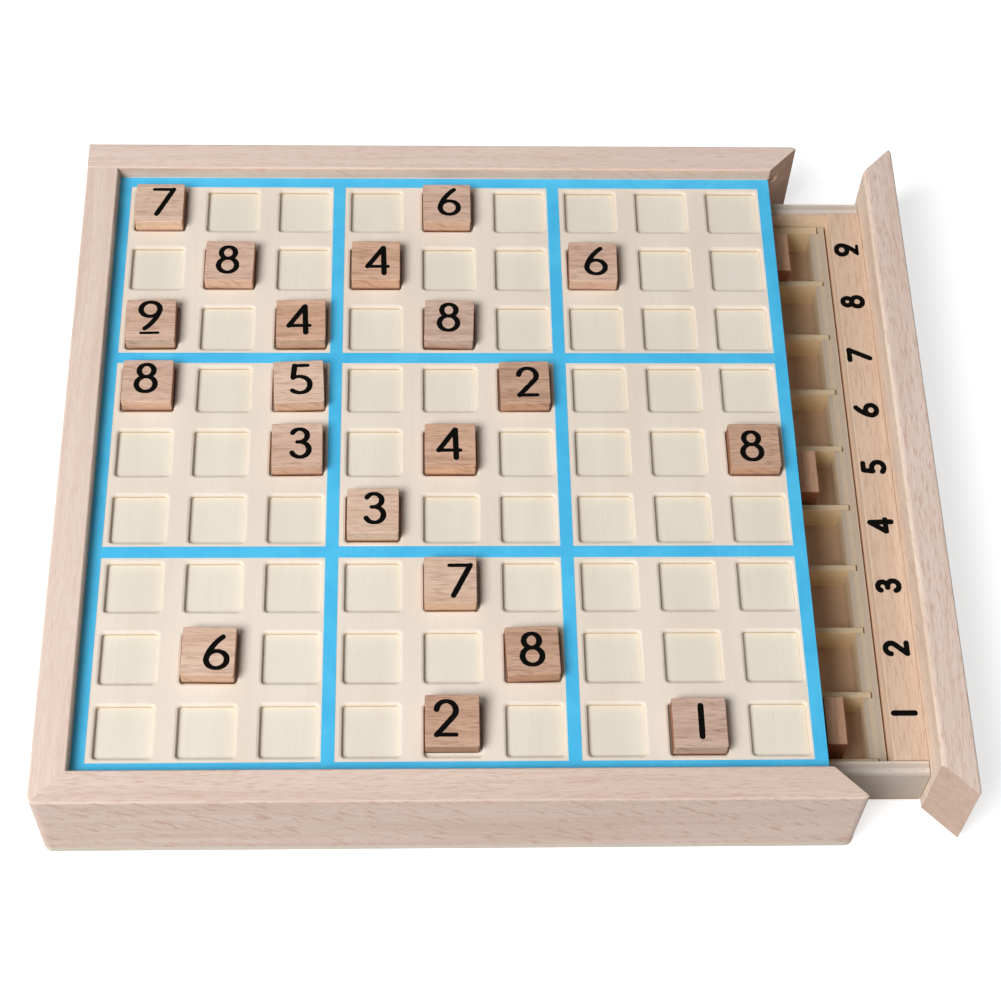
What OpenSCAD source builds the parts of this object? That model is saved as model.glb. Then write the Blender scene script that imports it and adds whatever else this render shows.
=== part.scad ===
// Wooden sudoku board. A mitred case carries a routed play board with 81
// pockets for loose number tiles. A drawer on the right, whose front is the
// fourth side of the frame, stores the spare tiles on edge in nine rows.
// Millimetres. X points to the drawer, Y to the back and Z up. The origin is
// on the table, under the middle of the closed case.

/* [Play board] */
// Distance between the middles of neighbouring cells
cell_pitch = 26; // [26:0.5:30]
// Thickness of the play board
board_thickness = 4; // [3.5:0.1:6]
// Depth of a pocket
pocket_depth = 1.8; // [1:0.1:3]
// Room all round a tile in its pocket
pocket_play = 0.45; // [0.4:0.05:0.8]
// Width and depth of a pocket's eased rim
pocket_rim = 0.9; // [0.4:0.1:1]
// How far the pockets sit to the right of the painted grid
pocket_shift = 0.5; // [-0.5:0.1:0.5]
// Width of a painted line
line_width = 4.3; // [3:0.1:4.4]
// Thickness of the paint
paint_thickness = 0.1; // [0.05:0.05:0.2]

/* [Tiles] */
// Side of a square number tile
tile_size = 17.3; // [15:0.1:17.4]
// Thickness of a number tile
tile_thickness = 6.4; // [5:0.1:8]
// Radius of a tile's upright corners
tile_corner = 0.7; // [0.4:0.1:2]
// Radius of a tile's top and bottom edges
tile_edge = 0.3; // [0.1:0.1:0.4]

/* [Case] */
// Width of a rail, seen from above
rail_width = 11.3; // [9:0.1:16]
// Height of a rail
rail_height = 35; // [34:0.5:45]
// Radius of the rails' long top edges
rail_edge = 0.7; // [0.4:0.1:1.4]
// Radius of the frame's rounded upright corners
corner_radius = 3; // [1.6:0.1:5]
// Height of the rails above the play board
board_drop = 5.4; // [4:0.1:7]
// Depth of the groove that holds the play board
groove_depth = 4; // [2.5:0.1:6]
// Thickness of the base panel
base_thickness = 3; // [2:0.1:5]

/* [Drawer] */
// How far the drawer stands open
drawer_open = 34.5; // [0:0.5:60]
// Room between the drawer and a rail, on each side
drawer_play = 3.4; // [1:0.1:5]
// Running gap between the drawer and the base panel
drawer_lift = 0.3; // [0.2:0.05:0.6]
// Gap in the mitres between the closed drawer front and the rails
mitre_gap = 0.35; // [0.25:0.05:0.6]
// Radius of the drawer front's inner top edge, where a finger pulls it
grip_edge = 1.8; // [0.8:0.1:3]
// Thickness of the drawer's sides
side_thickness = 5; // [3:0.1:7]
// Height of the drawer's sides above its bottom
side_height = 17.5; // [15:0.5:20]
// Thickness of the drawer's back
back_thickness = 5; // [3:0.1:8]
// Thickness of the drawer's bottom
bottom_thickness = 1.5; // [1.2:0.1:3]
// Width of the number strip, seen from above
strip_width = 11.5; // [8:0.1:16]
// Height of the number strip above the drawer's sides
strip_rise = 1; // [0:0.1:2]

/* [Tile rows] */
// Thickness of a comb
comb_thickness = 5.4; // [4.5:0.1:8]
// Depth of a comb's slots
slot_depth = 3.2; // [2:0.1:4]
// Room round a divider in its slot
slot_play = 0.15; // [0.05:0.05:0.3]
// Room left at the end of a slot
slot_end_room = 0.6; // [0.2:0.1:1]
// Room between a comb and the strip or the drawer's back
comb_room = 0.8; // [0.3:0.1:1.5]
// Thickness of a divider
divider_thickness = 2; // [1:0.1:3]
// Height of dividers, combs and linings
divider_height = 11; // [8:0.5:15]
// Thickness of an end lining
lining_thickness = 3; // [2:0.1:4]
// Room between a lining and the drawer's side
lining_room = 0.8; // [0.2:0.1:1.5]
// Spare length of a row that holds a full set of tiles
row_play = 4.4; // [3.5:0.1:12]

/* [Hidden] */
$fn = 48;

// The puzzle: nine digits, nine cells to a side, lines round boxes of three
digits = 9;
box_cells = 3;
grid_size = digits * cell_pitch;
half_cells = (digits - 1) / 2;

// Case, from the table up and from the middle out
board_margin = 0.25;
opening = grid_size + line_width + 2 * board_margin;
outer = opening + 2 * rail_width;
inner_face = opening / 2;
outer_face = outer / 2;
rail_top = base_thickness + rail_height;
board_top = rail_top - board_drop;
board_bottom = board_top - board_thickness;
groove_play = 0.1;
groove_end_room = 0.4;
board_front_room = 0.6;
pocket_size = tile_size + 2 * pocket_play;
pocket_corner = tile_corner + pocket_play;
tile_rest_gap = 0.05;
turn_room = atan(pocket_play / (tile_size / 2 - tile_corner));
ride_tilt = asin((pocket_depth + tile_rest_gap) / tile_size);
ride_shift = (pocket_size + tile_size) / 2 + pocket_rim - tile_size * cos(ride_tilt);
over_cut = 1;

// Drawer, from its front inwards and from the base panel up
front_seam = 0.3;
strip_edge = 0.4;
drawer_half = inner_face - drawer_play;
inner_half = drawer_half - side_thickness;
insert_half = inner_half - lining_room;
row_half = insert_half - lining_thickness;
row_pitch = (2 * row_half + divider_thickness) / digits;
row_side_room = (row_pitch - divider_thickness - tile_size) / 2;
row_length = digits * tile_thickness + row_play;
front_comb_x = inner_face - strip_width - comb_room - comb_thickness;
row_start = front_comb_x - row_length;
rear_comb_x = row_start - comb_thickness;
back_x = rear_comb_x - comb_room - back_thickness;
drawer_floor = base_thickness + drawer_lift + bottom_thickness;
side_top = drawer_floor + side_height;
divider_reach = slot_depth - slot_end_room;
row_end_gap = 0.3;

// Tiles on the board: digit, row from the back and column from the left, then
// how the hand left it: shift in X, shift in Y and turn, each as a share of what
// the pocket allows. A 1 at the end means that the tile's back edge rides up on
// the rim of the pocket.
board_tiles = [
    [7, 1, 1, -0.2, -0.2, 0, 0], [6, 1, 5, -0.8, 0.2, 0, 0],
    [8, 2, 2, 0.4, -0.2, -0.3, 0], [4, 2, 4, 0.3, 0.2, 0, 0], [6, 2, 7, -0.5, -0.4, -0.3, 0],
    [9, 3, 1, -0.5, 0.4, 0.3, 0], [4, 3, 3, 0.3, 0.4, 0.3, 0], [8, 3, 5, 0.2, 0.2, -0.6, 0],
    [8, 4, 1, 0.4, 0.6, 0, 0], [5, 4, 3, 0.1, 0, 0.8, 0], [2, 4, 6, -0.1, -0.4, 0.3, 0],
    [3, 5, 3, 0.4, 0.4, 0.3, 0], [4, 5, 5, 0, 0.4, 0, 0], [8, 5, 9, -0.7, -0.2, 0, 0],
    [3, 6, 4, 0.1, 0.6, 0, 0],
    [7, 7, 5, -0.9, -0.2, 0, 0],
    [6, 8, 2, 0, 0.3, -0.3, 0], [8, 8, 6, -0.3, -0.2, 0.6, 0],
    [2, 9, 5, -0.6, 0, 0, 1], [1, 9, 8, 0.2, 0.3, 0, 0]
];

// Stored rows: shift of the row in Y as a share of its side room, and the gap
// between its tiles as a share of the row's spare length
stored_rows = [
    [0, 0.08], [0.25, 0.05], [-0.35, 0.05], [0.15, 0.07], [-0.4, 0.07],
    [0.35, 0.07], [-0.2, 0.05], [0.15, 0.07], [-0.9, 0.02]
];

function tile_name(t) = str("tile_", t[0], "_r", t[1], "c", t[2]);
function divider_name(i) = str("divider_", i, "_", i + 1);
function stored_name(d) = str("stored_tiles_", d);
function stored_count(d) = digits - len([for (t = board_tiles) if (t[0] == d) t]);
function cell_x(column) = (column - 1 - half_cells) * cell_pitch + pocket_shift;
function cell_y(row) = (half_cells + 1 - row) * cell_pitch;
function row_y(d) = (d - 1 - half_cells) * row_pitch;
function divider_y(i) = (row_y(i) + row_y(i + 1)) / 2;

// Outlines of the right side of the frame, from its front inner corner round.
// gap sets the mitres back.
function mitred_plan(gap) = [
    [inner_face, gap - inner_face], [outer_face, gap - outer_face],
    [outer_face, outer_face - gap], [inner_face, inner_face - gap]
];
function butted_plan() = [
    [inner_face, -inner_face], [outer_face, -inner_face],
    [outer_face, outer_face], [inner_face, inner_face]
];
function through_plan() = [
    [inner_face, -inner_face], [outer_face, -outer_face],
    [outer_face, outer_face - corner_radius], [inner_face, outer_face - corner_radius]
];

// Shared shapes

// Half of an upright section, from the axis out, with its top edge rounded
module rounded_top_half(width, height, edge) {
    square([width, height - edge]);
    square([width - edge, height]);
    translate([width - edge, height - edge]) circle(edge);
}

// Half of an upright section with its top and bottom edges rounded
module rounded_half(width, height, edge) {
    translate([0, edge]) square([width, height - 2 * edge]);
    square([width - edge, height]);
    translate([width - edge, edge]) circle(edge);
    translate([width - edge, height - edge]) circle(edge);
}

// Half of the section of a pocket cutter, which eases the rim in two faces that
// meet at the fold
module pocket_half(width) {
    rim = width + pocket_rim;
    fold = pocket_rim * (1 - cos(45));
    polygon([
        [0, -pocket_depth], [width, -pocket_depth], [width, -pocket_rim],
        [width + fold, -fold], [rim, 0], [rim, over_cut], [0, over_cut]
    ]);
}

// Runs a half section along a square's two middle bars
module square_bars(size, corner) {
    for (turn = [0, 90])
        rotate([90, 0, turn])
            linear_extrude(size - 2 * corner, center = true)
                children();
}

// Puts a child on each corner of a square
module on_corners(size, corner) {
    for (x = [-1, 1], y = [-1, 1])
        translate([x * (size / 2 - corner), y * (size / 2 - corner), 0])
            children();
}

// Square block with rounded upright corners and a rounded top edge
module frame_block() {
    square_bars(outer, corner_radius) {
        rounded_top_half(outer / 2, rail_height, rail_edge);
        mirror([1, 0]) rounded_top_half(outer / 2, rail_height, rail_edge);
    }
    on_corners(outer, corner_radius)
        rotate_extrude()
            rounded_top_half(corner_radius, rail_height, rail_edge);
}

// One side of the frame, the right one, standing on Z = 0. plan is its outline
// from above and edge the radius of its inner top edge. Children add to it.
module frame_side(plan, edge) {
    difference() {
        union() {
            intersection() {
                frame_block();
                linear_extrude(rail_height) polygon(plan);
            }
            children();
        }
        translate([inner_face, 0, rail_height]) inner_edge_cut(edge);
    }
}

// Rounds a rail's long inner top edge
module inner_edge_cut(edge) {
    rotate([90, 0, 0])
        linear_extrude(outer + 2 * over_cut, center = true)
            difference() {
                translate([-over_cut, -edge]) square([edge + over_cut, edge + over_cut]);
                translate([edge, -edge]) circle(edge);
            }
}

// Square end that runs through to the frame's outer corner
module through_end() {
    translate([inner_face, outer_face, 0])
        rotate([90, 0, 0])
            linear_extrude(2 * corner_radius)
                rounded_top_half(rail_width, rail_height, rail_edge);
}

// A glued rail: a frame side with the play board's groove, turned into place
module rail(turn, plan) {
    groove = board_thickness + 2 * groove_play;
    groove_end = inner_face + groove_depth;
    color("BurlyWood")
        rotate([0, 0, turn])
            difference() {
                translate([0, 0, base_thickness]) frame_side(plan, rail_edge) children();
                translate([inner_face - over_cut, -groove_end, board_bottom - groove_play])
                    cube([groove_depth + over_cut, 2 * groove_end, groove]);
            }
}

// Pocket for a tile, with its rim at Z = 0
module pocket_cut() {
    square_bars(pocket_size, pocket_corner) {
        pocket_half(pocket_size / 2);
        mirror([1, 0]) pocket_half(pocket_size / 2);
    }
    on_corners(pocket_size, pocket_corner)
        rotate_extrude()
            pocket_half(pocket_corner);
}

// Number tile lying flat, with its underside at Z = 0
module tile() {
    square_bars(tile_size, tile_corner) {
        rounded_half(tile_size / 2, tile_thickness, tile_edge);
        mirror([1, 0]) rounded_half(tile_size / 2, tile_thickness, tile_edge);
    }
    on_corners(tile_size, tile_corner)
        rotate_extrude()
            rounded_half(tile_corner, tile_thickness, tile_edge);
}

// Moves a drawer piece from the closed drawer to where the drawer stands
module in_drawer() {
    translate([drawer_open, 0, 0]) children();
}

// Case. The rails are mitred, but the left one butts against the back one.

module left_rail() { rail(180, butted_plan()); }
module back_rail() { rail(90, through_plan()) through_end(); }
module front_rail() { rail(270, mitred_plan(0)); }

module play_board() {
    edge = inner_face + groove_depth - groove_end_room;
    right = inner_face - board_front_room;
    color("Cornsilk")
        difference() {
            translate([-edge, -edge, board_bottom]) cube([edge + right, 2 * edge, board_thickness]);
            for (row = [1 : digits], column = [1 : digits])
                translate([cell_x(column), cell_y(row), board_top]) pocket_cut();
        }
}

module grid_paint() {
    line_step = box_cells * cell_pitch;
    span = grid_size + line_width;
    color("DeepSkyBlue")
        translate([0, 0, board_top])
            linear_extrude(paint_thickness)
                for (i = [0 : box_cells], turn = [0, 90])
                    rotate(turn)
                        translate([i * line_step - grid_size / 2 - line_width / 2, -span / 2])
                            square([line_width, span]);
}

module base_panel() {
    color("Wheat")
        linear_extrude(base_thickness) {
            square([outer, outer - 2 * corner_radius], center = true);
            square([outer - 2 * corner_radius, outer], center = true);
            on_corners(outer, corner_radius) circle(corner_radius);
            translate([-outer_face, outer_face - corner_radius]) square(corner_radius);
        }
}

// Drawer

module drawer_front() {
    lift = base_thickness + drawer_lift;
    color("BurlyWood")
        in_drawer()
            intersection() {
                translate([0, 0, base_thickness]) frame_side(mitred_plan(mitre_gap), grip_edge);
                translate([0, -outer / 2, lift]) cube([outer, outer, rail_top]);
            }
}

module number_strip() {
    height = side_height + strip_rise;
    color("Tan")
        in_drawer()
            translate([inner_face, 0, drawer_floor])
                rotate([90, 0, 0])
                    linear_extrude(2 * inner_half, center = true)
                        mirror([1, 0]) {
                            translate([strip_edge, 0])
                                rounded_top_half(strip_width - strip_edge, height, strip_edge);
                            square([strip_edge, height - strip_edge]);
                        }
}

// side is -1 for the front and 1 for the back
module drawer_side(side) {
    middle = side * (drawer_half - side_thickness / 2);
    color("Wheat")
        in_drawer()
            translate([back_x, middle - side_thickness / 2, drawer_floor])
                cube([inner_face - front_seam - back_x, side_thickness, side_height]);
}

module drawer_side_front() { drawer_side(-1); }
module drawer_side_back() { drawer_side(1); }

module drawer_back() {
    color("Wheat")
        in_drawer()
            translate([back_x, -inner_half, drawer_floor])
                cube([back_thickness, 2 * inner_half, side_height]);
}

module drawer_bottom() {
    color("Wheat")
        in_drawer()
            translate([back_x, -drawer_half, drawer_floor - bottom_thickness])
                cube([inner_face - front_seam - back_x, 2 * drawer_half, bottom_thickness]);
}

// Comb with its slots towards -X, one for each divider and a rebate at each end
module comb() {
    slot = divider_thickness + 2 * slot_play;
    rebate = lining_thickness + slot_play;
    difference() {
        translate([0, -insert_half, 0]) cube([comb_thickness, 2 * insert_half, divider_height]);
        for (i = [1 : digits - 1])
            translate([-over_cut, divider_y(i) - slot / 2, -over_cut])
                cube([slot_depth + over_cut, slot, divider_height + 2 * over_cut]);
        for (side = [-1, 1])
            translate([-over_cut, side * insert_half - rebate, -over_cut])
                cube([slot_depth + over_cut, 2 * rebate, divider_height + 2 * over_cut]);
    }
}

module front_comb() {
    color("Wheat")
        in_drawer()
            translate([front_comb_x, 0, drawer_floor]) comb();
}

module rear_comb() {
    color("Wheat")
        in_drawer()
            translate([row_start, 0, drawer_floor]) mirror([1, 0, 0]) comb();
}

// Upright strip between the combs, its ends in their slots
module row_wall(y, thickness) {
    color("Moccasin")
        in_drawer()
            translate([row_start - divider_reach, y - thickness / 2, drawer_floor])
                cube([row_length + 2 * divider_reach, thickness, divider_height]);
}

module front_lining() { row_wall(lining_thickness / 2 - insert_half, lining_thickness); }
module back_lining() { row_wall(insert_half - lining_thickness / 2, lining_thickness); }
module divider(i) { row_wall(divider_y(i), divider_thickness); }

// Tiles

module board_tile(t) {
    x = cell_x(t[2]) + t[3] * pocket_play;
    y = cell_y(t[1]) + t[4] * pocket_play + t[6] * ride_shift;
    color("RosyBrown")
        translate([x, y, board_top - pocket_depth + tile_rest_gap])
            rotate([0, 0, t[5] * turn_room])
                translate([0, -tile_size / 2, 0])
                    rotate([t[6] * ride_tilt, 0, 0])
                        translate([0, tile_size / 2, 0])
                            tile();
}

// The spare tiles of one digit, on edge, pushed to the inner end of their row
module stored_tiles(d) {
    y = row_y(d) + stored_rows[d - 1][0] * row_side_room;
    step = tile_thickness + stored_rows[d - 1][1] * row_play;
    color("RosyBrown")
        in_drawer()
            for (i = [0 : stored_count(d) - 1])
                translate([row_start + row_end_gap + i * step, y, drawer_floor + tile_size / 2])
                    rotate([0, 90, 0])
                        tile();
}

left_rail();
back_rail();
front_rail();
play_board();
grid_paint();
base_panel();
drawer_front();
number_strip();
drawer_side_front();
drawer_side_back();
drawer_back();
drawer_bottom();
front_comb();
rear_comb();
front_lining();
back_lining();
for (i = [1 : digits - 1]) divider(i);
for (d = [1 : digits]) stored_tiles(d);
for (t = board_tiles) board_tile(t);
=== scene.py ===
"""Looks of a wooden sudoku board with a number drawer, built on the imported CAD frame."""

import math

import bmesh
import bpy
import numpy as np
from mathutils import Matrix, Vector


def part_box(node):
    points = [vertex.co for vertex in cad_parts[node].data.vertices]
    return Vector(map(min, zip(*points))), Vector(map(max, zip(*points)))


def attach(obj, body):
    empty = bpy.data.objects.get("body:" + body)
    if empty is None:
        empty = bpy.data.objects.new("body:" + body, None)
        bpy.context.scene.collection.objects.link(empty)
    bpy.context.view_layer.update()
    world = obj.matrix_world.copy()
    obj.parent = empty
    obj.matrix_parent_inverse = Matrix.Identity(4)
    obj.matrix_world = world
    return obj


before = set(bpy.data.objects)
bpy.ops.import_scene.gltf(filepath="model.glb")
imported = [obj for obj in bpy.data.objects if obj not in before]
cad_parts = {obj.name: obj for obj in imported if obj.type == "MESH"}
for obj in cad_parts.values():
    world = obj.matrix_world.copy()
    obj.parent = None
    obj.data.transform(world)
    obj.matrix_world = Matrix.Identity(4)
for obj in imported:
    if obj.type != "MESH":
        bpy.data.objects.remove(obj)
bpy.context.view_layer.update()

MM = 0.001


def box_mm(name):
    """The low and high corners of a CAD node's box, in millimetres."""
    low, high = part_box(name)
    return Vector(low) / MM, Vector(high) / MM


# Sizes of the part, in millimetres
BOARD_TOP = box_mm("play_board")[1].z
POCKET_DEPTH = 1.8
POCKET_PLAY = 0.45
TILE = 17.3
TILE_THICK = 6.4
TILE_CORNER = 0.7
REST_GAP = 0.05
ROW_PLAY = 4.4
SIDE_THICK = 5.0
COMB_THICK = 5.4
BASE_THICK = 3.0
BOTTOM_THICK = 1.5
DIGITS = 9

# Node trees


def srgb(red, green, blue):
    """A colour given as 0 to 255 on screen, as a linear colour with alpha."""
    def linear(value):
        value = value / 255
        if value <= 0.04045:
            return value / 12.92
        return ((value + 0.055) / 1.055) ** 2.4
    return (linear(red), linear(green), linear(blue), 1.0)


class Tree:
    """Short calls that build the nodes of a material or a world."""

    def __init__(self, owner):
        self.owner = owner
        owner.use_nodes = True
        self.nodes = owner.node_tree.nodes
        self.links = owner.node_tree.links
        self.nodes.clear()

    def node(self, kind, **settings):
        made = self.nodes.new("ShaderNode" + kind)
        for key, value in settings.items():
            setattr(made, key, value)
        return made

    def feed(self, socket, value):
        """Links value if it is a socket, otherwise sets it."""
        if isinstance(value, bpy.types.NodeSocket):
            self.links.new(value, socket)
        else:
            socket.default_value = value

    def math(self, operation, first, second=0.0):
        made = self.node("Math", operation=operation)
        self.feed(made.inputs[0], first)
        self.feed(made.inputs[1], second)
        return made.outputs[0]

    def vector(self, operation, first, second):
        made = self.node("VectorMath", operation=operation)
        self.feed(made.inputs[0], first)
        self.feed(made.inputs[1], second)
        return made.outputs[0]

    def dot(self, first, second):
        made = self.node("VectorMath", operation="DOT_PRODUCT")
        self.feed(made.inputs[0], first)
        self.feed(made.inputs[1], second)
        return made.outputs["Value"]

    def noise(self, place, detail, roughness=0.5):
        made = self.node("TexNoise")
        self.feed(made.inputs["Vector"], place)
        made.inputs["Scale"].default_value = 1.0
        made.inputs["Detail"].default_value = detail
        made.inputs["Roughness"].default_value = roughness
        return made.outputs["Fac"]

    def step(self, value, low, high, out_low=0.0, out_high=1.0):
        """A smooth step of value between low and high."""
        made = self.node("MapRange", interpolation_type="SMOOTHSTEP")
        self.feed(made.inputs["Value"], value)
        made.inputs["From Min"].default_value = low
        made.inputs["From Max"].default_value = high
        made.inputs["To Min"].default_value = out_low
        made.inputs["To Max"].default_value = out_high
        return made.outputs["Result"]

    def mix(self, factor, first, second, blend="MIX"):
        made = self.node("Mix", data_type="RGBA", blend_type=blend)
        self.feed(made.inputs["Factor"], factor)
        self.feed(made.inputs[6], first)
        self.feed(made.inputs[7], second)
        return made.outputs[2]

    def place(self):
        """The point in the part's own frame, in millimetres."""
        point = self.node("TexCoord").outputs["Object"]
        return self.vector("MULTIPLY", point, (1000.0, 1000.0, 1000.0))

    def facing(self, axis):
        """1 where the surface faces along the axis, either way, and 0 elsewhere."""
        normal = self.split(self.node("TexCoord").outputs["Normal"])
        return self.step(self.math("ABSOLUTE", normal[axis]), 0.5, 0.8)

    def seen(self):
        """1 for rays that look at a thing, by eye, mirror or glass, and 0 for rays of light."""
        rays = self.node("LightPath")
        either = self.math("MAXIMUM", rays.outputs["Is Camera Ray"], rays.outputs["Is Glossy Ray"])
        return self.math("MAXIMUM", either, rays.outputs["Is Transmission Ray"])

    def split(self, vector):
        made = self.node("SeparateXYZ")
        self.feed(made.inputs[0], vector)
        return {"X": made.outputs[0], "Y": made.outputs[1], "Z": made.outputs[2]}

    def join(self, first, second, third):
        made = self.node("CombineXYZ")
        self.feed(made.inputs[0], first)
        self.feed(made.inputs[1], second)
        self.feed(made.inputs[2], third)
        return made.outputs[0]

    def finish(self, colour, roughness, height, bump_mm, specular):
        """Ends in a Principled shader whose bump is height times bump_mm."""
        bump = self.node("Bump")
        bump.inputs["Strength"].default_value = 1.0
        bump.inputs["Distance"].default_value = bump_mm * MM
        self.feed(bump.inputs["Height"], height)
        shader = self.node("BsdfPrincipled")
        self.feed(shader.inputs["Base Color"], colour)
        self.feed(shader.inputs["Roughness"], roughness)
        shader.inputs["Specular IOR Level"].default_value = specular
        self.feed(shader.inputs["Normal"], bump.outputs[0])
        self.feed(self.node("OutputMaterial").inputs[0], shader.outputs[0])
        return self.owner


# Woods
# Painted shade: the brown that a tile's sides and ends darken to low down, where they sink into the
# pocket, and the height over which it fades in
FOOT_SHADE = srgb(150, 108, 66)
FOOT_SHADE_FADE = 1.6
FLECK_SLANT = 0.65
SIDE_MOTTLE = 0.16


def grain_space(tree, grain, tall):
    """Millimetres along the grain, across it, and up the board's tall side, bent a little."""
    point = tree.split(tree.place())
    thin = ({"X", "Y", "Z"} - {grain, tall}).pop()
    straight = tree.join(point[grain], point[thin], point[tall])
    slow = tree.vector("MULTIPLY", straight, (0.012, 0.05, 0.05))
    sway = tree.math("MULTIPLY", tree.math("SUBTRACT", tree.noise(slow, 1.0), 0.5), 6.0)
    bend = tree.join(0.0, sway, sway)
    return tree.vector("ADD", straight, bend)


def beech(name, grain, tall, tones, dashes=0.4, rings=0.25, flecks=0.0, seed=0.0, shade_below=None):
    """Beech: soft growth bands, fine fibres and the marks of its rays.

    tones holds the light, dark and ray colours, then tints for the sides and the ends; the side
    tints are painted light and shade. The rays are short dashes on the faces across the tall
    axis and broad flecks on the sides. The last argument is the height below which the sides are
    darkened brown as painted shade, if it is given.
    """
    light, dark, ray, side_lighting_tint, end_tint = tones
    tree = Tree(bpy.data.materials.new(name))
    thin = ({"X", "Y", "Z"} - {grain, tall}).pop()
    point = tree.vector("ADD", grain_space(tree, grain, tall), (seed, seed * 1.7, seed * 0.6))
    on_side = tree.facing(thin)
    on_end = tree.facing(grain)

    broad = tree.noise(tree.vector("MULTIPLY", point, (0.01, 0.09, 0.09)), 2.0)
    band = tree.noise(tree.vector("MULTIPLY", point, (0.01, 0.45, 0.3)), 3.0, 0.6)
    fibre = tree.noise(tree.vector("MULTIPLY", point, (0.14, 3.2, 3.0)), 3.0, 0.65)
    dash = tree.noise(tree.vector("MULTIPLY", point, (0.2, 1.7, 1.2)), 1.5, 0.5)
    slant = tree.math("MULTIPLY", tree.split(point)["X"], FLECK_SLANT)
    leaning = tree.vector("ADD", point, tree.join(0.0, 0.0, slant))
    fleck = tree.noise(tree.vector("MULTIPLY", leaning, (0.13, 0.1, 0.42)), 2.0, 0.6)
    mottle = tree.noise(tree.vector("MULTIPLY", point, (0.5, 0.5, 0.8)), 2.0, 0.6)

    colour = tree.mix(tree.step(broad, 0.3, 0.7), light, dark)
    colour = tree.mix(tree.math("MULTIPLY", tree.step(band, 0.42, 0.72), rings), colour, ray)
    colour = tree.mix(tree.step(fibre, 0.4, 0.8, 0.0, 0.42), colour, ray)
    dash_share = tree.step(on_side, 0.0, 1.0, dashes, 0.0)
    dashed = tree.math("MULTIPLY", tree.step(dash, 0.5, 0.7), dash_share)
    fleck_share = tree.step(on_side, 0.0, 1.0, 0.0, flecks)
    flecked = tree.math("MULTIPLY", tree.step(fleck, 0.56, 0.66), fleck_share)
    colour = tree.mix(tree.math("MAXIMUM", dashed, flecked), colour, ray)
    mottle_share = tree.step(on_side, 0.0, 1.0, 0.0, SIDE_MOTTLE)
    mottled = tree.math("MULTIPLY", tree.step(mottle, 0.35, 0.7), mottle_share)
    colour = tree.mix(mottled, colour, ray)
    # Painted light and shade: the side tint lightens or darkens the sides for how light falls on them
    colour = tree.mix(on_side, colour, side_lighting_tint, "MULTIPLY")
    colour = tree.mix(on_end, colour, end_tint, "MULTIPLY")
    # Painted shade: below the given height the sides and ends darken to brown
    if shade_below is not None:
        low = tree.step(tree.split(tree.place())["Z"], shade_below + FOOT_SHADE_FADE, shade_below)
        edge = tree.math("MULTIPLY", low, tree.math("MAXIMUM", on_side, on_end))
        colour = tree.mix(edge, colour, FOOT_SHADE, "MULTIPLY")

    height = tree.math("SUBTRACT", fibre, tree.math("MULTIPLY", dashed, 0.6))
    rough = tree.step(fibre, 0.2, 0.8, 0.52, 0.66)
    return tree.finish(colour, rough, height, 0.03, 0.25)


RIM_DROP = 0.6
FLOOR_DROP = 1.6
# How far down the painted shade on the pocket walls reaches, and how strong it is
WALL_SHADE_DROP = 1.5
WALL_SHADE = 0.75


def basswood():
    """The cream play board: faint streaks, yellower pocket floors and painted brown shade low on their
    walls.
    """
    tree = Tree(bpy.data.materials.new("play_board_basswood"))
    point = grain_space(tree, "Y", "Z")
    depth = tree.split(tree.place())["Z"]

    broad = tree.noise(tree.vector("MULTIPLY", point, (0.012, 0.07, 0.07)), 2.0)
    streak = tree.noise(tree.vector("MULTIPLY", point, (0.03, 1.1, 1.1)), 4.0, 0.6)
    fibre = tree.noise(tree.vector("MULTIPLY", point, (0.25, 5.0, 5.0)), 3.0, 0.6)
    pore = tree.noise(tree.vector("MULTIPLY", point, (0.35, 2.8, 2.8)), 1.0, 0.5)

    top = tree.mix(tree.step(broad, 0.3, 0.7), srgb(239, 227, 213), srgb(234, 220, 204))
    floor = tree.mix(tree.step(broad, 0.3, 0.7), srgb(234, 226, 211), srgb(229, 220, 204))
    inside = tree.step(depth, BOARD_TOP - RIM_DROP, BOARD_TOP - FLOOR_DROP)
    colour = tree.mix(inside, top, floor)
    # Painted shade: the pocket walls turn brown from under the rim down towards the floor
    low = tree.step(depth, BOARD_TOP - RIM_DROP, BOARD_TOP - WALL_SHADE_DROP)
    wall = tree.math("MAXIMUM", tree.facing("X"), tree.facing("Y"))
    wall_shade = tree.math("MULTIPLY", tree.math("MULTIPLY", low, wall), WALL_SHADE)
    colour = tree.mix(wall_shade, colour, srgb(198, 170, 126))
    colour = tree.mix(tree.step(streak, 0.52, 0.8, 0.0, 0.22), colour, srgb(216, 196, 168))
    colour = tree.mix(tree.step(pore, 0.68, 0.78, 0.0, 0.2), colour, srgb(190, 160, 126))

    height = tree.math("ADD", fibre, tree.math("MULTIPLY", streak, 0.6))
    rough = tree.step(fibre, 0.2, 0.8, 0.6, 0.74)
    return tree.finish(colour, rough, height, 0.04, 0.25)


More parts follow.
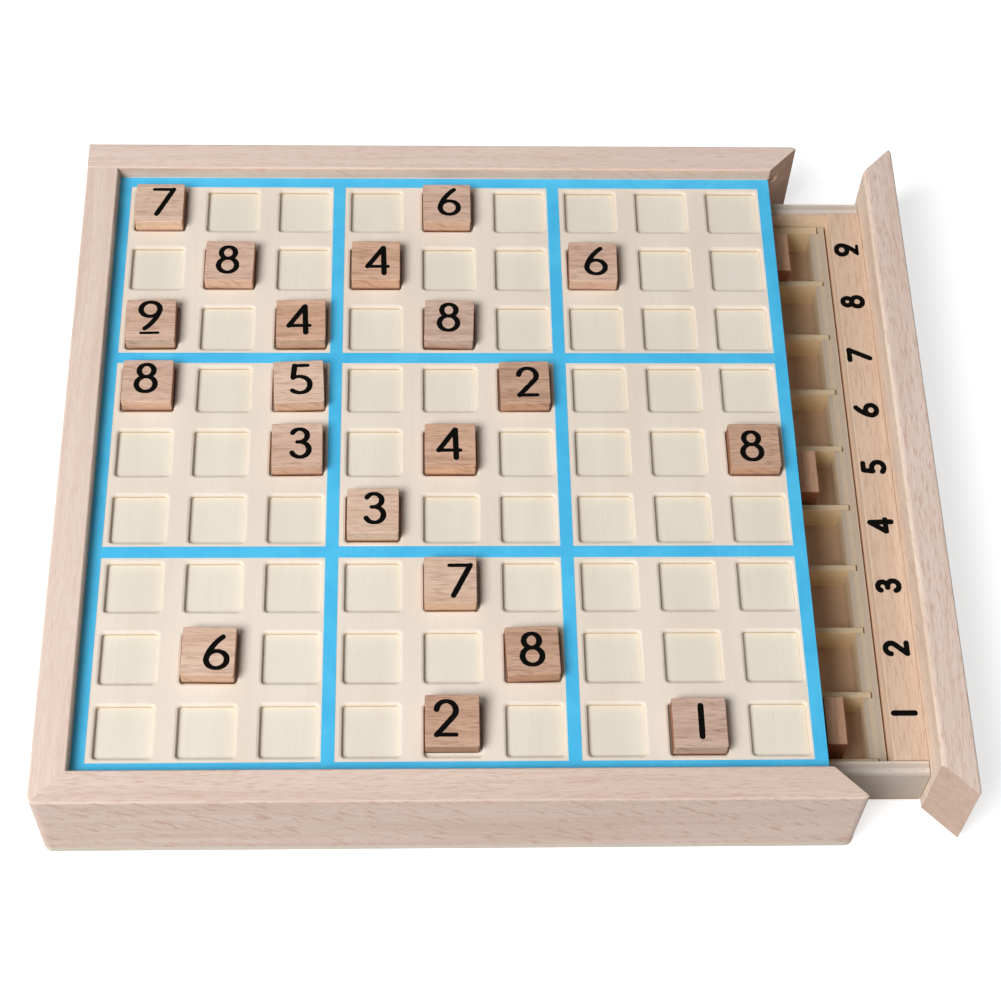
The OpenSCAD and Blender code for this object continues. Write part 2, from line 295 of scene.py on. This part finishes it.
def plywood(name, grain, through, start, thickness, plies, pale, brown, face_light_tint=None):
    """Plywood whose plies lie across the axis called through, from start.

    The last argument, if given, tints the two outer faces apart from the edges: painted light that
    lightens them for how light falls on them.
    """
    tree = Tree(bpy.data.materials.new(name))
    tall = ({"X", "Y", "Z"} - {grain, through}).pop()
    point = grain_space(tree, grain, tall)
    depth = tree.split(tree.place())[through]
    wobble = tree.noise(tree.vector("MULTIPLY", tree.place(), (0.15, 0.15, 0.15)), 2.0)

    layer = tree.math("DIVIDE", tree.math("SUBTRACT", depth, start), thickness / plies)
    layer = tree.math("ADD", layer, tree.math("MULTIPLY", tree.math("SUBTRACT", wobble, 0.5), 0.25))
    turn = tree.math("PINGPONG", layer, 1.0)
    alternate = tree.step(turn, 0.35, 0.65)

    streak = tree.noise(tree.vector("MULTIPLY", point, (0.05, 0.9, 0.9)), 4.0, 0.6)
    fibre = tree.noise(tree.vector("MULTIPLY", point, (0.2, 4.5, 4.5)), 3.0, 0.6)
    pore = tree.noise(tree.vector("MULTIPLY", point, (0.4, 2.6, 2.6)), 1.0, 0.5)

    colour = tree.mix(alternate, pale, brown)
    colour = tree.mix(tree.step(streak, 0.45, 0.8, 0.0, 0.45), colour, srgb(190, 166, 142))
    colour = tree.mix(tree.step(pore, 0.66, 0.76, 0.0, 0.45), colour, srgb(140, 108, 80))
    # Painted light: the tint lightens the two outer faces
    if face_light_tint is not None:
        colour = tree.mix(tree.facing(through), colour, face_light_tint, "MULTIPLY")

    height = tree.math("ADD", fibre, tree.math("MULTIPLY", alternate, 0.5))
    rough = tree.step(fibre, 0.2, 0.8, 0.62, 0.76)
    return tree.finish(colour, rough, height, 0.05, 0.25)


# Paint and ink


def blue_paint():
    """Thin sky-blue paint that lets some of the board's streaks through."""
    tree = Tree(bpy.data.materials.new("blue_grid_paint"))
    point = tree.place()
    coat = tree.noise(tree.vector("MULTIPLY", point, (0.09, 0.09, 0.09)), 3.0)
    along = tree.noise(tree.vector("MULTIPLY", point, (1.6, 0.06, 1.0)), 3.0, 0.6)
    chip = tree.noise(tree.vector("MULTIPLY", point, (2.2, 1.4, 2.0)), 2.0, 0.6)

    colour = tree.mix(tree.step(coat, 0.3, 0.7), srgb(79, 197, 243), srgb(68, 186, 236))
    colour = tree.mix(tree.step(along, 0.5, 0.8, 0.0, 0.3), colour, srgb(112, 206, 242))
    colour = tree.mix(tree.step(chip, 0.69, 0.75, 0.0, 0.6), colour, srgb(190, 216, 222))
    rough = tree.step(along, 0.2, 0.8, 0.45, 0.6)
    return tree.finish(colour, rough, along, 0.03, 0.4)


def black_ink():
    """Black printing ink, a little thin where the wood's fibres stand up."""
    tree = Tree(bpy.data.materials.new("black_digit_ink"))
    point = tree.place()
    fibre = tree.noise(tree.vector("MULTIPLY", point, (0.8, 4.0, 4.0)), 3.0, 0.6)
    colour = tree.mix(tree.step(fibre, 0.5, 0.85, 0.0, 0.5), srgb(12, 12, 10), srgb(30, 26, 23))
    rough = tree.step(fibre, 0.2, 0.8, 0.55, 0.7)
    return tree.finish(colour, rough, fibre, 0.02, 0.02)


# Beech tones: light, dark and ray colours, then the tints of the sides and the ends
# The side tints are painted light and shade: they lighten, darken or warm a part's sides for how light
# falls on them
SIDE_SHADE = srgb(244, 244, 243)
LEFT_SIDE_LIGHT = (1.1, 1.04, 0.96, 1.0)
BACK_SIDE_LIGHT = (1.02, 0.92, 0.83, 1.0)
FRONT_SIDE_LIGHT = (1.14, 1.17, 1.11, 1.0)
STRIP_SIDE_LIGHT = (1.3, 1.32, 1.3, 1.0)
TILE_SIDE_LIGHT = (1.06, 1.02, 0.95, 1.0)
END_TINT = srgb(221, 212, 203)
FRONT_END_TINT = srgb(198, 182, 177)
TILE_END = srgb(196, 160, 132)
RAIL = (srgb(231, 211, 198), srgb(223, 201, 187), srgb(197, 156, 136), SIDE_SHADE, END_TINT)
PALE_RAIL = (srgb(236, 216, 203), srgb(229, 208, 194), srgb(206, 170, 150), LEFT_SIDE_LIGHT, END_TINT)
BACK_RAIL = (*PALE_RAIL[:3], BACK_SIDE_LIGHT, END_TINT)
DRAWER_FRONT = (srgb(235, 216, 203), srgb(227, 206, 192), RAIL[2], FRONT_SIDE_LIGHT, FRONT_END_TINT)
STRIP = (srgb(219, 196, 175), srgb(210, 185, 163), srgb(178, 134, 108), STRIP_SIDE_LIGHT, END_TINT)
TILE_TONES = {
    "pale": (srgb(232, 203, 182), srgb(222, 190, 168), srgb(174, 132, 108), TILE_SIDE_LIGHT, TILE_END),
    "peach": (srgb(227, 195, 175), srgb(215, 181, 160), srgb(163, 122, 100), TILE_SIDE_LIGHT, TILE_END),
    "tan": (srgb(225, 186, 161), srgb(212, 171, 145), srgb(156, 111, 85), TILE_SIDE_LIGHT, TILE_END),
    "brown": (srgb(210, 173, 149), srgb(196, 158, 134), srgb(142, 101, 78), TILE_SIDE_LIGHT, TILE_END),
    "rosy": (srgb(217, 187, 170), srgb(204, 173, 156), srgb(152, 116, 98), TILE_SIDE_LIGHT, TILE_END),
}

front_rail_beech = beech("front_rail_beech", "X", "Z", RAIL, dashes=0.4, flecks=0.6)
back_rail_beech = beech("back_rail_beech", "X", "Z", BACK_RAIL, dashes=0.35, flecks=0.3, seed=19.0)
left_rail_beech = beech("left_rail_beech", "Y", "Z", PALE_RAIL, dashes=0.2, flecks=0.4, seed=37.0)
drawer_front_beech = beech("drawer_front_beech", "Y", "Z", DRAWER_FRONT, dashes=0.55, flecks=0.3,
                           seed=81.0)
strip_beech = beech("number_strip_beech", "Y", "Z", STRIP, dashes=0.4, rings=0.2, seed=7.0)

TILE_SEED_STEP = 11.0
# Height below which the tiles' sides carry painted shade
TILE_SHADE_LINE = BOARD_TOP - 1.2
tile_beech = {}
for place, (tone, tones) in enumerate(TILE_TONES.items()):
    tile_beech[tone] = beech("tile_beech_" + tone, "X", "Z", tones, dashes=0.5, rings=0.35, flecks=0.4,
                             seed=TILE_SEED_STEP * place, shade_below=TILE_SHADE_LINE)
# The stored tiles take the darker brown tone, partly as painted shade from the board over the drawer
stored_beech = beech("stored_tile_beech", "Y", "X", TILE_TONES["brown"], dashes=0.6, rings=0.4, seed=5.0)

# Plywood tones. The dividers are solid wood, so both of their plies have one colour.
PALE_PLY = srgb(213, 203, 193)
BROWN_PLY = srgb(196, 183, 170)
BASE_PLY = srgb(220, 205, 191)
# The drawer floor's ply: a warm tone, made darker as painted shade
WARM_PLY = srgb(196, 164, 134)
# The uprights' plies: grey-beige, darkened further as painted shade
SHADED_COMB_PLY = srgb(176, 163, 148)
SHADED_COMB_CORE = srgb(188, 171, 150)
DIVIDER_PLY = srgb(200, 181, 150)
# Painted light: tints that lighten the broad faces of the drawer's back side, the uprights and the
# dividers
DRAWER_SIDE_LIGHT = (1.4, 1.3, 1.12, 1.0)
COMB_FACE_LIGHT = (1.7, 1.58, 1.34, 1.0)
DIVIDER_FACE_LIGHT = (1.45, 1.38, 1.22, 1.0)
PLIES = 3
SOLID = 40.0
front_side_start = box_mm("drawer_side_front")[0].y
back_side_start = box_mm("drawer_side_back")[0].y
bottom_start = box_mm("drawer_bottom")[0].z
ply_side_front = plywood("drawer_side_ply_front", "X", "Y", front_side_start, SIDE_THICK, PLIES,
                         BROWN_PLY, PALE_PLY)
ply_side_back = plywood("drawer_side_ply_back", "X", "Y", back_side_start, SIDE_THICK, PLIES,
                        BROWN_PLY, PALE_PLY, DRAWER_SIDE_LIGHT)
ply_upright = plywood("upright_ply", "Y", "X", 0.0, COMB_THICK, PLIES, SHADED_COMB_PLY, SHADED_COMB_CORE, COMB_FACE_LIGHT)
ply_base = plywood("base_ply", "X", "Z", 0.0, BASE_THICK, PLIES, PALE_PLY, BASE_PLY)
ply_floor = plywood("drawer_floor_ply", "X", "Z", bottom_start, BOTTOM_THICK, PLIES, WARM_PLY, WARM_PLY)
thin_wood = plywood("divider_wood", "X", "Y", 0.0, SOLID, PLIES, DIVIDER_PLY, DIVIDER_PLY, DIVIDER_FACE_LIGHT)

paint = blue_paint()
ink = black_ink()

# Digits as strokes, in millimetres, for a digit about 13 mm high with its ink


def arc(x, y, radius_x, radius_y, start, end, steps=30):
    angles = np.radians(np.linspace(start, end, steps))
    return [(x + radius_x * math.cos(a), y + radius_y * math.sin(a)) for a in angles]


def curve(points, steps=8):
    """A smooth line through the points."""
    points = np.array(points, float)
    ends = np.vstack([2 * points[0] - points[1], points, 2 * points[-1] - points[-2]])
    line = []
    for i in range(1, len(ends) - 2):
        before, start, end, after = ends[i - 1:i + 3]
        for t in np.linspace(0, 1, steps, endpoint=False):
            line.append(0.5 * (2 * start + (end - before) * t
                               + (2 * before - 5 * start + 4 * end - after) * t ** 2
                               + (3 * start - before - 3 * end + after) * t ** 3))
    line.append(ends[-2])
    return [tuple(p) for p in line]


def straight(start, end, steps=10):
    return [tuple(p) for p in np.linspace(start, end, steps)]


def turned(strokes):
    """The same strokes, turned half round."""
    return [([(-x, -y) for x, y in line], closed) for line, closed in strokes]


SIX = [
    (curve([(1.7, 5.6), (0.3, 4.3), (-1.1, 2.6), (-2.3, 0.6), (-3.05, -1.3), (-3.3, -2.6)]), False),
    (arc(0.0, -2.6, 3.3, 3.05, 0, 348, 40), True),
]
STROKES = {
    1: [(straight((0.0, 5.4), (0.0, -5.4)), False)],
    2: [
        (arc(0.0, 2.55, 3.05, 3.05, 172, -41) + straight((2.2, 0.44), (-3.0, -5.5))[1:], False),
        (straight((-3.0, -5.5), (3.2, -5.5)), False),
    ],
    3: [
        (arc(-0.2, 3.05, 2.6, 2.55, 155, -90) + [(-1.0, 0.5)], False),
        ([(-1.0, 0.45), (-0.5, 0.45)] + arc(0.0, -2.55, 3.0, 3.0, 90, -155), False),
    ],
    4: [
        (straight((1.9, 5.6), (-3.6, -2.6)), False),
        (straight((-3.6, -2.6), (3.7, -2.6)), False),
        (straight((2.0, 5.6), (2.3, -5.6)), False),
    ],
    5: [
        (straight((2.4, 5.6), (-2.1, 5.6)), False),
        (straight((-2.1, 5.6), (-2.7, 0.6)), False),
        (curve([(-2.7, 0.6), (-1.5, 1.0), (0.2, 0.95), (1.9, 0.1), (2.95, -1.6), (2.75, -3.7),
                (1.5, -5.2), (-0.4, -5.65), (-2.0, -5.3), (-3.1, -4.6)]), False),
    ],
    6: SIX,
    7: [
        (straight((-3.4, 5.6), (3.5, 5.6)), False),
        (straight((3.5, 5.6), (-2.1, -5.7)), False),
    ],
    8: [
        (arc(0.0, 3.05, 2.5, 2.55, 0, 348, 40), True),
        (arc(0.0, -2.5, 3.2, 3.1, 0, 348, 40), True),
    ],
    9: turned(SIX),
}
UNDERLINED = 9
UNDERLINE = straight((-3.0, 0.0), (3.0, 0.0))
UNDERLINE_SHARE = 0.56
INK_FOOT = -0.05
INK_TOP = 0.03
INK_LAYER = 0.005
CAP_STEPS = 7


def add_stroke(mesh, line, closed, width, level, top):
    """A flat stroke with round ends: top faces and the thin walls under their edge.

    level is the share of the width that the stroke keeps where it runs level.
    """
    line = np.array(line)
    if closed:
        ahead = np.roll(line, -1, 0) - np.roll(line, 1, 0)
    else:
        ahead = np.gradient(line, axis=0)
    ahead = ahead / np.linalg.norm(ahead, axis=1)[:, None]
    side = np.stack([-ahead[:, 1], ahead[:, 0]], 1)
    walk = np.arange(len(line))
    ragged = 1 + 0.025 * np.sin(walk * 2.1 + line[:, 0]) + 0.02 * np.sin(walk * 5.3 + line[:, 1])
    slim = level + (1 - level) * np.abs(ahead[:, 1])
    half = (width / 2 * ragged * slim)[:, None]
    left = line + side * half
    right = line - side * half

    def corner(point, height):
        return mesh.verts.new((point[0], point[1], height))

    def wall(points, ring):
        feet = [corner(p, INK_FOOT) for p in points]
        tops = [corner(p, top) for p in points]
        count = len(points) if ring else len(points) - 1
        for i in range(count):
            j = (i + 1) % len(points)
            mesh.faces.new((feet[i], feet[j], tops[j], tops[i]))

    def cap(middle, start, towards):
        """Half a disc from start, round the end of the stroke."""
        angles = np.linspace(0, math.pi, CAP_STEPS)
        arm = start - middle
        reach = towards * np.linalg.norm(arm)
        rim = [middle + arm * math.cos(a) + reach * math.sin(a) for a in angles]
        hub = corner(middle, top)
        rim_tops = [corner(p, top) for p in rim]
        for first, second in zip(rim_tops, rim_tops[1:]):
            mesh.faces.new((hub, second, first))
        wall(rim, False)

    left_tops = [corner(p, top) for p in left]
    right_tops = [corner(p, top) for p in right]
    count = len(line) if closed else len(line) - 1
    for i in range(count):
        j = (i + 1) % len(line)
        mesh.faces.new((right_tops[i], right_tops[j], left_tops[j], left_tops[i]))
    wall(list(left), closed)
    wall(list(right), closed)
    if not closed:
        cap(line[-1], left[-1], ahead[-1])
        cap(line[0], right[0], -ahead[0])


def print_digits(name, digit, matrices, style, body):
    """One ink piece: the digit, printed once for each matrix."""
    scale, width, level, underline = style
    mesh = bmesh.new()
    for matrix in matrices:
        part = bmesh.new()
        for layer, (line, closed) in enumerate(STROKES[digit]):
            scaled = [(x * scale, y * scale) for x, y in line]
            add_stroke(part, scaled, closed, width, level, INK_TOP + layer * INK_LAYER)
        if digit == UNDERLINED:
            line = [(x * scale, y + underline) for x, y in UNDERLINE]
            add_stroke(part, line, False, width, UNDERLINE_SHARE, INK_TOP)
        bmesh.ops.transform(part, matrix=matrix, verts=part.verts)
        spare = bpy.data.meshes.new(name + "_part")
        part.to_mesh(spare)
        part.free()
        mesh.from_mesh(spare)
        bpy.data.meshes.remove(spare)
    bmesh.ops.recalc_face_normals(mesh, faces=mesh.faces)
    data = bpy.data.meshes.new(name)
    mesh.to_mesh(data)
    mesh.free()
    data.materials.append(ink)
    piece = bpy.data.objects.new(name, data)
    bpy.context.scene.collection.objects.link(piece)
    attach(piece, body)


def dress(name, material):
    """Gives a CAD node its material."""
    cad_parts[name].material_slots[0].material = material


def face_matrix(origin, right, up):
    """From a digit's plane, in millimetres, to the part's frame, in metres."""
    right = Vector(right)
    up = Vector(up)
    out = right.cross(up)
    turn = Matrix((right, up, out)).transposed().to_4x4()
    return Matrix.Translation(Vector(origin) * MM) @ turn @ Matrix.Scale(MM, 4)


# Digit styles: scale, stroke width, the share of it that level strokes keep, and how high the
# underline sits
TILE_STYLE = (1.0, 1.95, 0.7, -7.5)
STRIP_STYLE = (0.64, 2.0, 0.92, -4.0)

# Board tiles: where the digit is printed on the tile, in millimetres, the tile's turn as a share
# of what its pocket allows, and its tone
BOARD_TILES = {
    "tile_7_r1c1": (1.2, 0.45, 0, "pale"),
    "tile_6_r1c5": (0.85, 0.6, 0, "peach"),
    "tile_8_r2c2": (-0.65, 0.4, -0.3, "peach"),
    "tile_4_r2c4": (0.65, -0.05, 0, "tan"),
    "tile_6_r2c7": (1.0, 0.2, -0.3, "peach"),
    "tile_9_r3c1": (-0.25, 1.7, 0.3, "peach"),
    "tile_4_r3c3": (-0.6, 0.0, 0.3, "tan"),
    "tile_8_r3c5": (-0.25, 1.15, -0.6, "rosy"),
    "tile_8_r4c1": (-0.5, 1.15, 0, "peach"),
    "tile_5_r4c3": (0.8, 1.0, 0.8, "pale"),
    "tile_2_r4c6": (1.0, 0.1, 0.3, "brown"),
    "tile_3_r5c3": (1.0, 0.65, 0.3, "peach"),
    "tile_4_r5c5": (-0.3, 0.4, 0, "tan"),
    "tile_8_r5c9": (-1.0, -0.25, 0, "brown"),
    "tile_3_r6c4": (0.5, 0.9, 0, "pale"),
    "tile_7_r7c5": (3.05, -0.25, 0, "pale"),
    "tile_6_r8c2": (2.7, -0.5, -0.3, "pale"),
    "tile_8_r8c6": (-0.25, 0.4, 0.6, "brown"),
    "tile_2_r9c5": (-1.9, 0.85, 0, "brown"),
    "tile_1_r9c8": (0.5, 0.4, 0, "rosy"),
}
TURN_ROOM = math.atan(POCKET_PLAY / (TILE / 2 - TILE_CORNER))
RIDING_TILE = "tile_2_r9c5"
RIDE_TILT = math.asin((POCKET_DEPTH + REST_GAP) / TILE)


def tile_top(name, turn):
    """The frame of a board tile's upper face: its middle, right and up, in millimetres."""
    low, high = box_mm(name)
    middle = (low + high) / 2
    angle = turn * TURN_ROOM
    right = Vector((math.cos(angle), math.sin(angle), 0))
    up = Vector((-math.sin(angle), math.cos(angle), 0))
    out = Vector((0, 0, 1))
    if name == RIDING_TILE:
        up = Vector((0, math.cos(RIDE_TILT), math.sin(RIDE_TILT)))
        out = right.cross(up)
    return middle + out * TILE_THICK / 2, right, up


for name, (print_x, print_y, turn, tone) in BOARD_TILES.items():
    digit = int(name.split("_")[1])
    middle, right, up = tile_top(name, turn)
    origin = middle + right * print_x + up * print_y
    print_digits("ink_" + name[5:], digit, [face_matrix(origin, right, up)], TILE_STYLE, name)
    dress(name, tile_beech[tone])

# Stored tiles: how many, the gap between them as a share of the row's spare length, and a digit on
# every tile's drawer-side face
STORED_COUNT = {1: 8, 2: 7, 3: 7, 4: 6, 5: 8, 6: 6, 7: 7, 8: 4, 9: 8}
STORED_GAP = {1: 0.08, 2: 0.05, 3: 0.05, 4: 0.07, 5: 0.07, 6: 0.07, 7: 0.05, 8: 0.07, 9: 0.02}
PRINT_SWAY = 0.5
for digit, count in STORED_COUNT.items():
    name = "stored_tiles_%d" % digit
    low, high = box_mm(name)
    step = TILE_THICK + STORED_GAP[digit] * ROW_PLAY
    matrices = []
    for i in range(count):
        sway = PRINT_SWAY * math.sin(i * 2.4 + digit)
        origin = (low.x + TILE_THICK + i * step, (low.y + high.y) / 2 + sway, (low.z + high.z) / 2)
        matrices.append(face_matrix(origin, (0, 1, 0), (0, 0, 1)))
    print_digits("stored_ink_%d" % digit, digit, matrices, TILE_STYLE, "drawer")
    dress(name, stored_beech)

# Number strip: digits read from the drawer's side
STRIP_PITCH = 23.55
STRIP_SHIFT_X = -0.75
STRIP_SHIFT_Y = -0.2
MIDDLE_DIGIT = (DIGITS + 1) / 2
strip_low, strip_high = box_mm("number_strip")
strip_x = (strip_low.x + strip_high.x) / 2 + STRIP_SHIFT_X
for digit in range(1, DIGITS + 1):
    origin = (strip_x, STRIP_SHIFT_Y + (digit - MIDDLE_DIGIT) * STRIP_PITCH, strip_high.z)
    matrix = face_matrix(origin, (0, 1, 0), (-1, 0, 0))
    print_digits("strip_ink_%d" % digit, digit, [matrix], STRIP_STYLE, "drawer")

# Woods of the CAD nodes
node_woods = {
    "left_rail": left_rail_beech,
    "back_rail": back_rail_beech,
    "front_rail": front_rail_beech,
    "drawer_front": drawer_front_beech,
    "number_strip": strip_beech,
    "play_board": basswood(),
    "grid_paint": paint,
    "base_panel": ply_base,
    "drawer_bottom": ply_floor,
    "drawer_side_front": ply_side_front,
    "drawer_side_back": ply_side_back,
    "drawer_back": ply_upright,
    "front_comb": ply_upright,
    "rear_comb": ply_upright,
    "front_lining": thin_wood,
    "back_lining": thin_wood,
}
for i in range(1, DIGITS):
    node_woods["divider_%d_%d" % (i, i + 1)] = thin_wood
for name, material in node_woods.items():
    dress(name, material)

# Floor, light and camera
FLOOR_GREY = (0.62, 0.62, 0.62, 1.0)
FLOOR_GLOW = 0.68
WHITE = (1.0, 1.0, 1.0, 1.0)


def floor_material():
    """White floor that shows white to the camera and keeps the shadow."""
    tree = Tree(bpy.data.materials.new("studio_floor"))
    shader = tree.node("BsdfDiffuse")
    shader.inputs["Color"].default_value = FLOOR_GREY
    glow = tree.node("Emission")
    glow.inputs["Color"].default_value = WHITE
    tree.feed(glow.inputs["Strength"], tree.math("MULTIPLY", tree.seen(), FLOOR_GLOW))
    total = tree.node("AddShader")
    tree.feed(total.inputs[0], shader.outputs[0])
    tree.feed(total.inputs[1], glow.outputs[0])
    tree.feed(tree.node("OutputMaterial").inputs[0], total.outputs[0])
    return tree.owner


# The floor lies a hair under the base, so that the two faces don't coincide
FLOOR_REACH = 6.0
FLOOR_LEVEL = -0.2 * MM
floor_mesh = bpy.data.meshes.new("studio_floor")
signs = [(-1, -1), (1, -1), (1, 1), (-1, 1)]
corners = [(x * FLOOR_REACH, y * FLOOR_REACH, FLOOR_LEVEL) for x, y in signs]
floor_mesh.from_pydata(corners, [], [(0, 1, 2, 3)])
floor_mesh.materials.append(floor_material())
floor = bpy.data.objects.new("studio_floor", floor_mesh)
bpy.context.scene.collection.objects.link(floor)

# Soft light all round, stronger on the side that the key comes from
AMBIENT_FROM = (-0.6, -0.45, 0.66)
AMBIENT_LOW = 0.06
AMBIENT_HIGH = 0.28
world = bpy.data.worlds.new("studio")
bpy.context.scene.world = world
sky = Tree(world)
lean = sky.dot(sky.node("TexCoord").outputs["Generated"], AMBIENT_FROM)
ambient = sky.step(lean, -0.6, 1.0, AMBIENT_LOW, AMBIENT_HIGH)
background = sky.node("Background")
sky.feed(background.inputs["Strength"], sky.math("MAXIMUM", ambient, sky.seen()))
sky.feed(sky.node("OutputWorld").inputs[0], background.outputs[0])

KEY_FROM = Vector((-0.62, -0.6, 1.0))
KEY_DISTANCE = 2.1
KEY_SIZE = 1.2
KEY_ENERGY = 47.0
key = bpy.data.lights.new("key", "AREA")
key.shape = "DISK"
key.size = KEY_SIZE
key.energy = KEY_ENERGY
key_lamp = bpy.data.objects.new("key", key)
key_lamp.location = KEY_FROM.normalized() * KEY_DISTANCE
key_lamp.rotation_euler = KEY_FROM.to_track_quat("Z", "Y").to_euler()
bpy.context.scene.collection.objects.link(key_lamp)

# The camera of the photograph, from the fitted board lines
ELEVATION = math.radians(58.921)
YAW = math.radians(-4.087)
ROLL = math.radians(3.418)
CAMERA_AT = Vector((-10.239, -404.447, 673.465)) * MM
FOCAL_PIXELS = 2222.06
IMAGE_WIDTH = 1001

camera_data = bpy.data.cameras.new("camera")
camera_data.sensor_width = 36.0
camera_data.lens = FOCAL_PIXELS * camera_data.sensor_width / IMAGE_WIDTH
camera_data.clip_start = 0.05
camera = bpy.data.objects.new("camera", camera_data)
bpy.context.scene.collection.objects.link(camera)
heading = Matrix.Rotation(YAW, 3, "Z")
tilt = Matrix.Rotation(math.pi / 2 - ELEVATION, 3, "X")
roll = Matrix.Rotation(ROLL, 3, "Z")
camera.matrix_world = Matrix.Translation(CAMERA_AT) @ (heading @ tilt @ roll).to_4x4()
bpy.context.scene.camera = camera

bpy.context.scene.view_settings.view_transform = "Standard"
